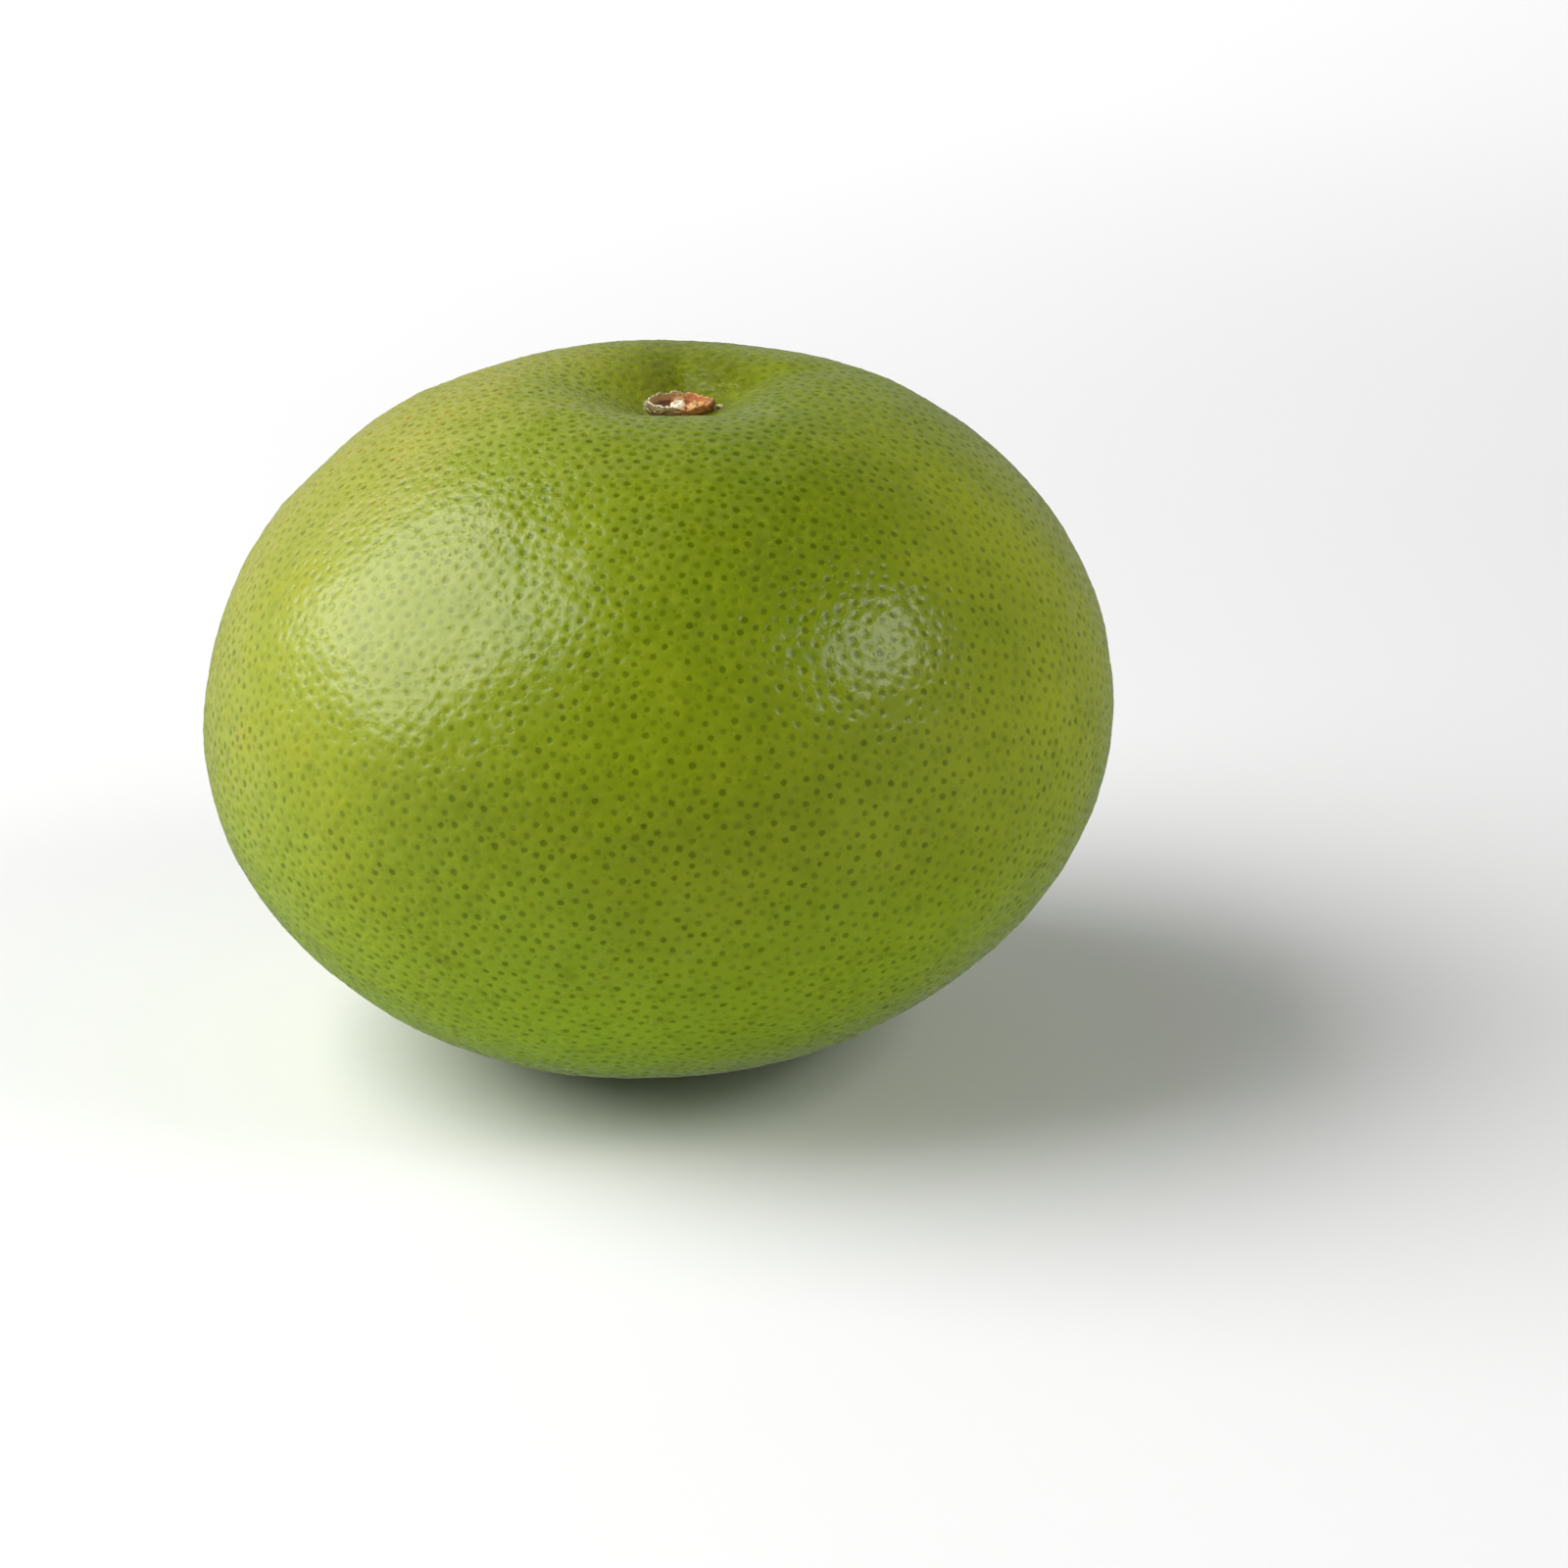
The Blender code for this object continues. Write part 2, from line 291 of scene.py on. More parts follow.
def smooth_rind(directions):
    """Points of the smooth rind, round the middle of the fruit, for rows of unit directions."""
    x, y, z = directions.T
    azimuth = np.arctan2(y, x)
    level = np.sqrt(np.clip(1 - z * z, 0, 1))
    swell = 1 + SHOULDER_FULLNESS * (2 * z * level) ** 2 * (z > 0)
    for count, share, crest in GIRTH_WAVES:
        swell += share * level * np.cos(count * (azimuth - crest))
    for toward, width, share in SWELLS:
        cosine = directions @ toward / np.linalg.norm(toward)
        swell += share * np.exp(2 * (cosine - 1) / width**2)
    points = directions * [GIRTH_RADIUS, GIRTH_RADIUS, HALF_HEIGHT] * swell[:, None]
    for size, depth in DENTS:
        points = points + directions * noise_at(points, size, depth)[:, None]
    cosine, sine = math.cos(LEAN), math.sin(LEAN)
    points = points @ np.array([[cosine, 0, sine], [0, 1, 0], [-sine, 0, cosine]])
    sink = hollow_depth(points[:, 0] - STEM_X, points[:, 1])
    points[:, 2] -= np.where(points[:, 2] > 0, sink, 0)
    return points


def pucker_height(points):
    """The small radial folds round the button, for rows of points of the smooth rind."""
    offset_x, offset_y = points[:, 0] - STEM_X, points[:, 1]
    start, end = PUCKER_REACH
    way_out = (np.hypot(offset_x, offset_y) - start) / (end - start)
    window = np.where((way_out > 0) & (way_out < 1) & (points[:, 2] > 0), 1 - np.clip(way_out, 0, 1), 0)
    wander = noise_at(points, *PUCKER_WANDER, shift=4)
    return PUCKER_HEIGHT * window * np.cos(PUCKERS * np.arctan2(offset_y, offset_x) + wander)


def on_ellipsoid(points):
    """Points moved in or out onto the ellipsoid."""
    size = np.array([GIRTH_RADIUS, GIRTH_RADIUS, HALF_HEIGHT])
    return points / np.linalg.norm(points / size, axis=1)[:, None]


def gland_places():
    """Glands spread evenly over the ellipsoid: a shaken golden-angle spiral, then relaxed."""
    levels = np.linspace(-1, 1, AREA_STEPS)
    area = np.cumsum(np.hypot(GIRTH_RADIUS * levels, HALF_HEIGHT * np.sqrt(1 - levels**2)))
    shares = (np.arange(GLAND_COUNT) + 0.5) / GLAND_COUNT
    z = np.interp(shares * area[-1], area, levels)
    turn = GOLDEN_ANGLE * np.arange(GLAND_COUNT)
    level = np.sqrt(1 - z * z)
    places = np.stack([level * np.cos(turn), level * np.sin(turn), z], 1)
    places *= [GIRTH_RADIUS, GIRTH_RADIUS, HALF_HEIGHT]
    spacing = GIRTH_RADIUS * math.sqrt(4 * math.pi / GLAND_COUNT)
    shake = np.random.default_rng(GLAND_SEED).normal(size=places.shape)
    places = on_ellipsoid(places + GLAND_SHAKE * spacing * shake / 2)
    for _ in range(RELAX_ROUNDS):
        tree = kdtree.KDTree(len(places))
        for number, place in enumerate(places):
            tree.insert(place, number)
        tree.balance()
        pushed = places.copy()
        for number, place in enumerate(places):
            for other, _, distance in tree.find_n(place, 1 + NEIGHBOURS)[1:]:
                push = max(0, 1 - distance / spacing)
                gap = max(distance, LEAST_LENGTH)
                pushed[number] += RELAX_PUSH * push * (place - other) / gap * spacing
        places = on_ellipsoid(pushed)
    return places


def hull_triangles(places):
    """The triangles of the convex hull round the places, facing out."""
    shape = bmesh.new()
    for place in places:
        shape.verts.new(place)
    shape.verts.index_update()
    bmesh.ops.convex_hull(shape, input=shape.verts[:])
    bmesh.ops.recalc_face_normals(shape, faces=shape.faces[:])
    triangles = np.array([[vertex.index for vertex in face.verts] for face in shape.faces])
    shape.free()
    return triangles


def split_in_nine(places, triangles):
    """Splits each triangle in nine: two new points on each edge, and one in the middle.

    Each face starts with its gland, or with the middle point that it touches.
    """
    sides = np.concatenate([triangles[:, [0, 1]], triangles[:, [1, 2]], triangles[:, [2, 0]]])
    edges, number = np.unique(np.sort(sides, 1), axis=0, return_inverse=True)
    starts, ends = places[edges[:, 0]], places[edges[:, 1]]
    on_edges = np.stack([2 * starts + ends, starts + 2 * ends], 1).reshape(-1, 3) / 3
    middles = places[triangles].mean(1)
    first = len(places) + 2 * number.reshape(-1)
    turned = sides[:, 0] > sides[:, 1]
    near = (first + turned).reshape(3, -1)
    far = (first + ~turned).reshape(3, -1)
    a, b, c = triangles.T
    ab, bc, ca = near
    ba, cb, ac = far
    m = len(places) + len(on_edges) + np.arange(len(triangles))
    corners = [(a, ab, ac), (b, bc, ba), (c, ca, cb)]
    rosette = [(m, ab, ba), (m, ba, bc), (m, bc, cb), (m, cb, ca), (m, ca, ac), (m, ac, ab)]
    faces = np.concatenate([np.stack(corner, 1) for corner in corners + rosette])
    return np.concatenate([places, on_edges, middles]), faces


def mesh_object(name, points, faces):
    mesh = bpy.data.meshes.new(name)
    mesh.from_pydata(np.asarray(points).tolist(), [], [list(map(int, face)) for face in faces])
    mesh.shade_smooth()
    made = bpy.data.objects.new(name, mesh)
    bpy.context.scene.collection.objects.link(made)
    return made


def store(piece, name, values, kind, domain):
    """Keeps values on the piece's points, corners or faces, for its material."""
    layer = piece.data.attributes.new(name, kind, domain)
    field = "vector" if kind == "FLOAT_VECTOR" else "value"
    layer.data.foreach_set(field, np.asarray(values, np.float32).ravel())


def vertex_normals(points, faces):
    """Unit normals of the vertices, weighted by the areas of the faces round them."""
    a, b, c = points[faces].transpose(1, 0, 2)
    across = np.cross(b - a, c - a)
    normals = np.zeros_like(points)
    for corner in range(3):
        np.add.at(normals, faces[:, corner], across)
    return normals / np.linalg.norm(normals, axis=1)[:, None]


def make_rind():
    """The rind, how far it was moved to stand in the frame, and its faces for ray casts."""
    places = gland_places()
    triangles = hull_triangles(places)
    points, faces = split_in_nine(places, triangles)
    directions = on_ellipsoid(points) / [GIRTH_RADIUS, GIRTH_RADIUS, HALF_HEIGHT]
    smooth = smooth_rind(directions)
    normals = vertex_normals(smooth, faces)

    from_stem = np.linalg.norm(smooth - [STEM_X, 0, HALF_HEIGHT - HOLLOW_DEPTH], axis=1)
    crown = np.exp(-((from_stem / CROWN_REACH) ** 2))
    draw = np.random.default_rng(GLAND_SEED + 1)
    dots = np.zeros(len(points))
    dots[: len(places)] = draw.uniform(*DOT_RADII, len(places))
    between = np.arange(len(points) - len(triangles), len(points))
    small = between[draw.random(len(between)) < SMALL_DOT_SHARE]
    dots[small] = draw.uniform(*SMALL_DOT_RADII, len(small))
    darkness = draw.uniform(*DOT_DARKNESS, len(points))
    darkness[len(places) :] *= SMALL_DOT_DARKNESS
    darkness *= 1 - CROWN_FADING * crown

    relief = sum(noise_at(smooth, size, height, shift=7) for size, height in PEBBLES)
    relief += noise_at(smooth, *CROWN_PEBBLES, shift=3) * crown + pucker_height(smooth)
    relief[: len(places)] -= PIT_DEPTH * dots[: len(places)] / DOT_RADII[1]
    relief[between] += PEBBLE_HEIGHT
    relief[small] -= SMALL_PIT_DEPTH + PEBBLE_HEIGHT
    points = smooth + normals * relief[:, None]

    lift = HALF_HEIGHT * (1 - math.sqrt(1 - (REST_RADIUS / GIRTH_RADIUS) ** 2))
    low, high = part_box("fruit")
    middle = (smooth.min(0) + smooth.max(0)) / 2
    box_middle = (np.array(low) + np.array(high)) / 2
    shift = np.array([*(box_middle - middle)[:2], -smooth[:, 2].min() - lift])
    points += shift
    points[:, 2] = np.maximum(points[:, 2], low[2])

    rind = mesh_object("rind", points, faces)
    owners = faces[:, 0]  # each face touches one gland, or one place between glands
    from_dot = points[faces] - points[owners][:, None]
    radii = np.maximum(dots[owners], LEAST_LENGTH)
    store(rind, "from_dot", from_dot / radii[:, None, None], "FLOAT_VECTOR", "CORNER")
    store(rind, "dot_darkness", darkness[owners], "FLOAT", "FACE")
    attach(rind, "root")
    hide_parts("fruit")
    return rind, Vector(shift), BVHTree.FromPolygons(points.tolist(), faces.tolist())


def rind_point(rind_tree, x, y):
    """The point of the rind straight below a place above it."""
    return rind_tree.ray_cast(Vector((x, y, 1)), Vector((0, 0, -1)))[0]


def torn_height(azimuth):
    """The height of the button's rim at an azimuth, as a share of its whole height."""
    place = Vector((math.cos(azimuth), math.sin(azimuth), 0))
    torn = sum(share * noise.noise(place * waves) for waves, share in RIM_TEARS)
    return 1 + torn - RIM_TILT * math.cos(azimuth - RIM_LOW_AZIMUTH)


def pith_height(x, y):
    """How high the torn pith stands above the cup at a place, before its tears."""
    height = 0
    for mound_x, mound_y, reach_x, reach_y, top in PITH_MOUNDS:
        apart = ((x - mound_x) / reach_x) ** 2 + ((y - mound_y) / reach_y) ** 2
        height = max(height, top * (1 - apart**2))
    return height


def ring_plan(out, turn):
    """Where a distance at an azimuth falls on the button's oval plan, pointed at its right end."""
    toward_right = max(0, math.cos(turn))
    return out * math.cos(turn), out * math.sin(turn) * RING_OVAL * (1 - RIGHT_TAPER * toward_right**2)


def ring_point(turn, radius, height, rim_height):
    """A point of the torn ring, and the share of pith there, for a place on its profile."""
    toward = Vector((math.cos(turn), math.sin(turn), 0))
    edge = min(1, max(0, (radius - RIM_START) / RIM_WIDTH)) * (height > 0)
    up = height * RING_HEIGHT * (1 + (rim_height - 1) * edge)
    waver = PLAN_WAVER * noise.noise(toward * PLAN_WAVES + Vector((5, 0, 0)))
    out = radius * RING_RADIUS * (1 + waver)
    for around, upwards, depth in WALL_WRINKLES:
        place = toward * RING_RADIUS / around + Vector((0, 0, up / upwards))
        out += depth * noise.noise(place) * min(1, radius / RIM_START)
        up += WRINKLE_RISE * depth * noise.noise(place + Vector((9, 9, 9))) * edge
    x, y = ring_plan(out, turn)
    inside = min(1, max(0, (CUP_EDGE - radius) / CUP_FADE))
    pith = pith_height(x, y) * inside if height > 0 else 0
    for size, height_of_tears in PITH_TEARS:
        up += height_of_tears * noise.noise(Vector((x, y, 0)) / size) * pith / PITH_TOP
    return (x, y, up + pith), pith / PITH_TOP


def lofted_ring():
    """The torn ring's points and faces, and for each point its way along the profile and pith."""
    radii, heights = np.array(RING_PROFILE).T
    way = np.concatenate([[0], np.cumsum(np.hypot(np.diff(radii), np.diff(heights) * HEIGHT_WEIGHT))])
    steps = np.linspace(0, way[-1], RING_ROWS)
    radii, heights = np.interp(steps, way, radii), np.interp(steps, way, heights)
    turns = np.arange(RING_STEPS) * 2 * math.pi / RING_STEPS
    rim_heights = [torn_height(turn) for turn in turns]
    points, along, pith = [], [], []
    rows = RING_ROWS - 1  # the last one is the middle of the cup
    for row in range(rows):
        for turn, rim_height in zip(turns, rim_heights):
            point, pith_there = ring_point(turn, radii[row], heights[row], rim_height)
            points.append(point)
            pith.append(pith_there)
            along.append(steps[row] / way[-1])
    foot, cup = len(points), len(points) + 1
    middle, pith_there = ring_point(0, 0, heights[-1], 1)
    points += [(0, 0, heights[0] * RING_HEIGHT), middle]
    pith += [0, pith_there]
    along += [0, 1]
    faces = []
    for step in range(RING_STEPS):
        after = (step + 1) % RING_STEPS
        faces.append((foot, after, step))
        faces.append((cup, (rows - 1) * RING_STEPS + step, (rows - 1) * RING_STEPS + after))
        for row in range(rows - 1):
            here, above = row * RING_STEPS, (row + 1) * RING_STEPS
            faces.append((here + step, here + after, above + after, above + step))
    return points, faces, along, pith


def stem_piece(name, points, faces, seat, material):
    """A piece of the stem button, in coordinates from the middle of its seat."""
    piece = mesh_object(name, points, faces)
    piece.location = seat
    piece.data.materials.append(material)
    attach(piece, "root")
    return piece


def make_ring(seat):
    points, faces, along, pith = lofted_ring()
    ring = stem_piece("stem_ring", points, faces, seat, ring_material())
    store(ring, "along", along, "FLOAT", "POINT")
    store(ring, "pith", pith, "FLOAT", "POINT")
    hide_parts("stem_button")


def splinter(root, tip, sag, radius):
    """A closed, tapered and bent sliver from its root to its tip: its points and faces."""
    root, tip = Vector(root), Vector(tip)
    run = tip - root
    aside = run.cross(Vector(ODD_DIRECTION)).normalized()
    thick = run.cross(aside).normalized()
    points = [root]
    for row in range(SPLINTER_ROWS):
        share = row / SPLINTER_ROWS
        middle = root + run * share + Vector(sag) * 4 * share * (1 - share)
        width = radius * (1 - share) ** SPLINTER_TAPER
        for side in range(SPLINTER_SIDES):
            turn = 2 * math.pi * side / SPLINTER_SIDES
            out = math.cos(turn) * aside + SPLINTER_FLATNESS * math.sin(turn) * thick
            points.append(middle + width * out)
    points.append(tip)
    faces = []
    last = len(points) - 1
    for side in range(SPLINTER_SIDES):
        after = (side + 1) % SPLINTER_SIDES
        faces.append((0, 1 + after, 1 + side))
        for row in range(SPLINTER_ROWS - 1):
            here, above = 1 + row * SPLINTER_SIDES, 1 + (row + 1) * SPLINTER_SIDES
            faces.append((here + side, here + after, above + after, above + side))
        top = 1 + (SPLINTER_ROWS - 1) * SPLINTER_SIDES
        faces.append((top + side, top + after, last))
    return points, faces


def rim_point(azimuth, out, up):
    """A point on the ring, at shares of its radius and height; tears count in its upper half alone."""
    height = up * RING_HEIGHT * (torn_height(azimuth) if up > 0.5 else 1)
    return Vector((*ring_plan(out * RING_RADIUS, azimuth), height))


def all_splinters():
    """Every splinter of the button: (root, tip, sag, radius, paleness)."""
    draw = np.random.default_rng(SPLINTER_SEED)
    cup_floor = RING_PROFILE[-1][1] * RING_HEIGHT
    made = []

    def around(low, high):
        return math.radians(draw.uniform(low, high))

    for _ in range(RIM_FIBRES):  # frayed fibres on the rim
        turn = around(0, 360)
        root = rim_point(turn, draw.uniform(0.90, 0.97), 0.85)
        along = Vector((-math.sin(turn), math.cos(turn), 0)) * draw.normal(0, 1.4)
        tip = root + (Vector((0, 0, 0.8)) + along).normalized() * draw.uniform(0.0002, 0.0005)
        made.append((root, tip, (0, 0, 0), draw.uniform(0.00004, 0.00008), draw.uniform(0.2, 1)))
    for _ in range(WALL_STRINGS):  # lying round the outer wall
        turn = around(0, 360)
        reach = draw.choice((-1, 1)) * draw.uniform(0.10, 0.34)
        up = draw.uniform(0.1, 0.8)
        root = rim_point(turn, 1.0, up)
        tip = rim_point(turn + reach, 1.0, up + draw.normal(0, 0.25))
        outwards = Vector((math.cos(turn + reach / 2), math.sin(turn + reach / 2), 0))
        sag = outwards * (RING_RADIUS * (1 - math.cos(reach / 2)) + draw.uniform(0.00002, 0.0001))
        pale = draw.uniform(0.3, 1) if math.cos(turn) < 0.1 else draw.uniform(0, 0.4)
        made.append((root, tip, sag, draw.uniform(0.00005, 0.00011), pale))
    for _ in range(PITH_FIBRES):
        x, y, reach_x, reach_y, _ = PITH_MOUNDS[draw.integers(len(PITH_MOUNDS))]
        x += draw.normal(0, 0.45) * reach_x
        y += draw.normal(0, 0.45) * reach_y
        root = Vector((x, y, cup_floor + pith_height(x, y)))
        away = Vector((draw.normal(), draw.normal(), abs(draw.normal(0, 0.5)))).normalized()
        tip = root + away * draw.uniform(0.0003, 0.0007)
        pale = 1 if x < 0.0009 else draw.uniform(0.35, 0.65)
        made.append((root, tip, (0, 0, 0.00005), draw.uniform(0.00005, 0.0001), pale))
    count, low, high = PALE_TUFT
    for _ in range(count):
        turn = around(low, high)
        root = rim_point(turn, 0.95, draw.uniform(0.3, 0.7))
        away = Vector((-1, draw.normal(-0.1, 0.3), draw.normal(-0.1, 0.25))).normalized()
        tip = root + away * draw.uniform(0.0006, 0.0013)
        made.append((root, tip, (0, 0, 0.0001), draw.uniform(0.0001, 0.0002), draw.uniform(0.7, 1)))
    count, low, high = BROWN_TUFT
    for _ in range(count):
        turn = around(low, high)
        root = rim_point(turn, draw.uniform(0.90, 0.99), draw.uniform(0, 0.4))
        away = Vector((draw.uniform(-0.1, 0.6), draw.normal(0, 0.4), 1)).normalized()
        tip = root + away * draw.uniform(0.0006, 0.0014)
        made.append((root, tip, (0.0001, 0, 0), draw.uniform(0.00006, 0.00012), draw.uniform(0, 0.55)))
    for turn in BRISTLES:
        root = rim_point(math.radians(turn), 0.95, 0.85)
        tip = root + Vector((draw.normal(0, 0.0002), 0, 0.0007))
        made.append((root, tip, (0, 0, 0), 0.00005, 1))
    made.append((STRAND_ROOT, STRAND_TIP, (-0.0002, -0.0003, 0), 0.00016, 0.9))
    return made


def make_splinters(seat):
    points, faces, paleness = [], [], []
    for root, tip, sag, radius, pale in all_splinters():
        more_points, more_faces = splinter(root, tip, sag, radius)
        faces += [[number + len(points) for number in face] for face in more_faces]
        points += more_points
        paleness += [pale] * len(more_faces)
    splinters = stem_piece("stem_splinters", points, faces, seat, splinter_material())
    store(splinters, "paleness", paleness, "FLOAT", "FACE")


def lump(centre, radii, seed):
    """A closed, uneven lump: its points and faces."""
    shape = bmesh.new()
    bmesh.ops.create_icosphere(shape, subdivisions=5, radius=1)
    points = []
    for vertex in shape.verts:
        out = vertex.co.normalized()
        point = Vector(a * b for a, b in zip(out, radii))
        for grain, height in GUM_LUMPS:
            point += out * height * noise.noise(point / grain + Vector((seed, seed, 0)))
        points.append(Vector(centre) + point)
    faces = [[vertex.index for vertex in face.verts] for face in shape.faces]
    shape.free()
    return points, faces


def make_gum(seat, rind_tree):
    """The bead of dried gum on the rind at the button's right end."""
    spot = rind_point(rind_tree, seat.x + GUM_PLACE[0], seat.y + GUM_PLACE[1]) - seat
    points, faces = lump(spot + Vector((0, 0, GUM_RADII[2] * GUM_RISE)), GUM_RADII, GUM_SEED)
    stem_piece("stem_gum", points, faces, seat, gum_material())


class Nodes:
    """Adds and joins the nodes of one material."""

    def __init__(self, name):
        self.material = bpy.data.materials.new(name)
        self.material.use_nodes = True
        self.tree = self.material.node_tree
        self.shader = self.tree.nodes["Principled BSDF"]
        self.place = self.add("ShaderNodeTexCoord").outputs["Object"]

    def add(self, kind, inputs=None, **settings):
        node = self.tree.nodes.new(kind)
        for name, value in settings.items():
            setattr(node, name, value)
        for name, value in (inputs or {}).items():
            self.put(node.inputs[name], value)
        return node

    def put(self, socket, value):
        if isinstance(value, bpy.types.NodeSocket):
            self.tree.links.new(value, socket)
        else:
            socket.default_value = value

    def set(self, **values):
        for name, value in values.items():
            self.put(self.shader.inputs[name.replace("_", " ")], value)

    def noise(self, size, detail=3.0, roughness=0.55, stretch=None):
        place = self.place
        if stretch:
            place = self.add("ShaderNodeMapping", {"Vector": place, "Scale": stretch}).outputs[0]
        inputs = {"Vector": place, "Scale": 1 / size, "Detail": detail, "Roughness": roughness}
        return self.add("ShaderNodeTexNoise", inputs).outputs["Fac"]

    def attribute(self, name):
        return self.add("ShaderNodeAttribute", attribute_name=name).outputs["Fac"]

    def axis(self, name):
        return self.add("ShaderNodeSeparateXYZ", {0: self.place}).outputs[name]

    def ramp(self, value, low, high, to_low=0.0, to_high=1.0):
        inputs = {0: value, 1: low, 2: high, 3: to_low, 4: to_high}
        return self.add("ShaderNodeMapRange", inputs, interpolation_type="SMOOTHSTEP").outputs[0]

    def math(self, operation, first, second=0.0):
        return self.add("ShaderNodeMath", {0: first, 1: second}, operation=operation).outputs[0]

    def mix(self, share, first, second, blend="MIX"):
        node = self.add("ShaderNodeMix", {0: share}, data_type="RGBA", blend_type=blend)
        for socket, color in ((node.inputs[6], first), (node.inputs[7], second)):
            self.put(socket, color if isinstance(color, bpy.types.NodeSocket) else (*color, 1))
        return node.outputs[2]

    def near(self, centre, reach, uneven=0.0):
        """1 at a place on the fruit, falling to 0 at that reach from it, with an uneven edge."""
        apart = self.add(
            "ShaderNodeVectorMath", {0: self.place, 1: centre}, operation="DISTANCE"
        ).outputs["Value"]
        if uneven:
            apart = self.math("ADD", apart, self.ramp(self.noise(0.014, 4), 0.25, 0.75, -uneven, uneven))
        return self.ramp(apart, 0, reach, 1.0, 0.0)

    def bump(self, height, strength, distance):
        return self.add(
            "ShaderNodeBump", {"Height": height, "Strength": strength, "Distance": distance}
        ).outputs[0]


def rind_material():
    n = Nodes("rind")
    color = n.mix(n.ramp(n.noise(0.030, 5, 0.6), 0.40, 0.72, 0, 0.55), GREEN, YELLOW_GREEN)
    color = n.mix(n.ramp(n.noise(0.019, 5, 0.6), 0.48, 0.72, 0, 0.35), color, DEEP_GREEN)
    color = n.mix(n.near(SHADED_PLACE, SHADED_REACH, 0.010), color, DEEP_GREEN)
    color = n.mix(n.near(RIPE_PLACE, RIPE_REACH, 0.012), color, RIPE_GREEN)
    sunny = n.near(SUNNY_PLACE, SUNNY_REACH, 0.012)
    color = n.mix(sunny, color, SUNNY_GREEN)
    yellow = n.math("MULTIPLY", sunny, n.ramp(n.noise(0.007, 5, 0.65), 0.50, 0.66, 0, 0.6))
    color = n.mix(yellow, color, SUNNY_YELLOW)
    # painted light from the floor: the rind turns a lighter, greener tone toward the bottom
    height = n.math("ADD", n.axis("Z"), n.ramp(n.noise(0.04, 3), 0.3, 0.7, -0.006, 0.006))
    color = n.mix(n.ramp(height, *FLOOR_LIGHT_HEIGHTS, 0.85, 0), color, FLOOR_LIT_GREEN)
    # painted shade: the rind is darker green in the stem hollow
    dimple = n.near(DIMPLE_PLACE, DIMPLE_REACH, 0.005)
    color = n.mix(dimple, color, DIMPLE_SHADE_GREEN)
    blush = n.near(BLUSH_PLACE, BLUSH_REACH, 0.012)
    # the rind's own pale blush, paled further by painted sheen toward the upper left rim
    color = n.mix(blush, color, PALE_BLUSH_AND_SHEEN)
    flecks = n.math("MULTIPLY", blush, n.ramp(n.noise(0.0028, 5, 0.7), 0.53, 0.70, 0, 0.70))
    color = n.mix(flecks, color, BLUSH)
    color = n.mix(n.ramp(n.noise(0.0018, 3, 0.6), 0.42, 0.78, 0, 0.40), color, YELLOW_GREEN)
    color = n.mix(n.ramp(n.noise(0.0034, 3, 0.6), 0.50, 0.80, 0, 0.45), color, DEEP_GREEN)

    from_dot = n.add("ShaderNodeAttribute", attribute_name="from_dot").outputs["Vector"]
    reach = n.add("ShaderNodeVectorMath", {0: from_dot}, operation="LENGTH").outputs["Value"]
    uneven = n.math("ADD", reach, n.ramp(n.noise(0.0009, 1), 0.3, 0.7, -0.10, 0.10))
    dots = n.math("MULTIPLY", n.ramp(uneven, 0.58, 0.96, 1, 0), n.attribute("dot_darkness"))
    # painted highlight: the dots are paler where the main highlight falls
    highlight_wax = n.near(*GLOSSY_PLACES[0])
    dots = n.math("MULTIPLY", dots, n.ramp(highlight_wax, 0.35, 0.75, 1, 1 - HIGHLIGHT_DOT_FADING))
    dots = n.math("MULTIPLY", dots, n.ramp(dimple, 0, 0.8, 1, 1 - DIMPLE_DOT_FADING))
    shade = n.mix(n.ramp(n.noise(0.006, 3), 0.45, 0.70), DOT_SHADE, BROWN_DOT_SHADE)
    color = n.mix(dots, color, n.mix(blush, shade, BLUSH_DOT_SHADE), "MULTIPLY")

    # painted sheen: a pale net on the ridges between the pits, round the crown and on the left side
    patchy = n.ramp(n.noise(0.005, 4, 0.6), 0.35, 0.62, 0.15, 0.42)
    ridge_sheen = n.math("MULTIPLY", n.ramp(uneven, 0.80, 1.70), patchy)
    sheen_mask = 0.0
    for place, sheen_reach in RIDGE_SHEEN_PLACES:
        sheen_mask = n.math("MAXIMUM", n.near(place, sheen_reach, 0.008), sheen_mask)
    ridge_sheen = n.math("MULTIPLY", ridge_sheen, sheen_mask)
    ridge_sheen = n.math("MULTIPLY", ridge_sheen, n.ramp(dimple, 0, 0.7, 1, 0))
    color = n.mix(ridge_sheen, color, RIDGE_SHEEN_COLOR)

    # tiny pale specks: partly wax specks, partly painted glints
    specks = n.ramp(n.noise(0.00016, 1), 0.76, 0.80, 0, 0.8)
    color = n.mix(n.math("MULTIPLY", specks, n.ramp(n.noise(0.006, 2), 0.45, 0.6)), color, PALE_SPECK_GLINT)

